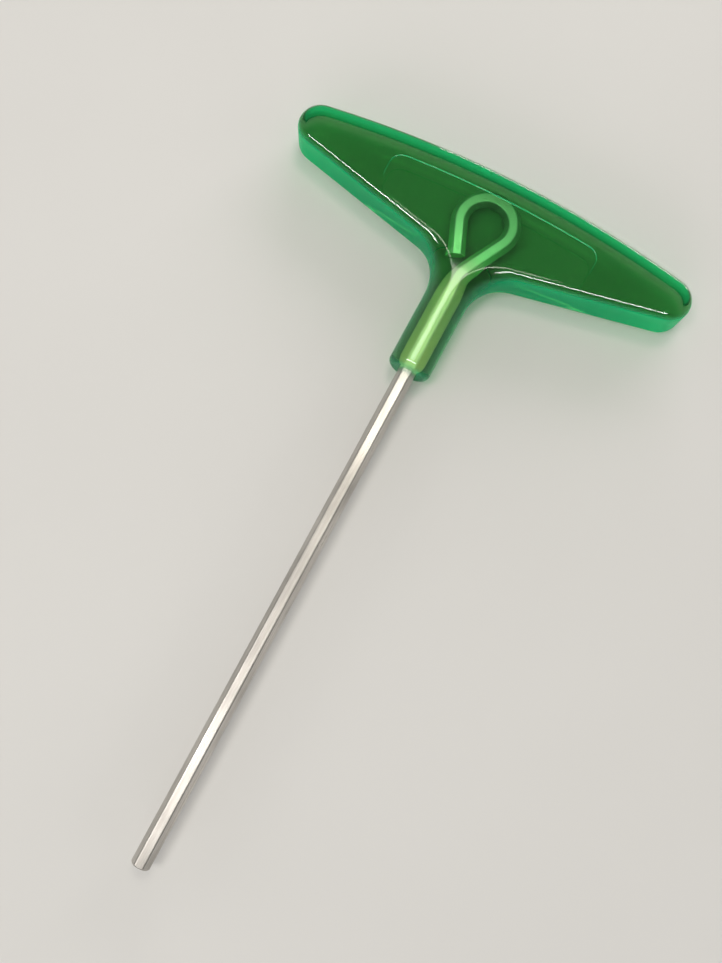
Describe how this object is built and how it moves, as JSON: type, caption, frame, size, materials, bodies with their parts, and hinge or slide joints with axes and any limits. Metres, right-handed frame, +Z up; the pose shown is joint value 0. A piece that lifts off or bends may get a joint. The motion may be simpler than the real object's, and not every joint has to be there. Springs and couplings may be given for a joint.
{
  "type": "hex key",
  "caption": "T-handle hex key: a hexagonal steel blade with a clear green plastic handle moulded over its bent end, for turning socket-head screws.",
  "frame": {"origin": "middle of the tool's length and width, on the plane that it lies on", "axes": "+Y along the blade from its free end to the handle's crest, +X along the handle, +Z up from the plane that it lies on"},
  "size_m": [0.13, 0.2198, 0.013],
  "materials": {
    "steel": "bright drawn steel",
    "clear_plastic": "clear green, polished"
  },
  "bodies": {
    "root": {"hex_bar": "steel", "t_handle": "clear_plastic"}
  },
  "joints": []
}
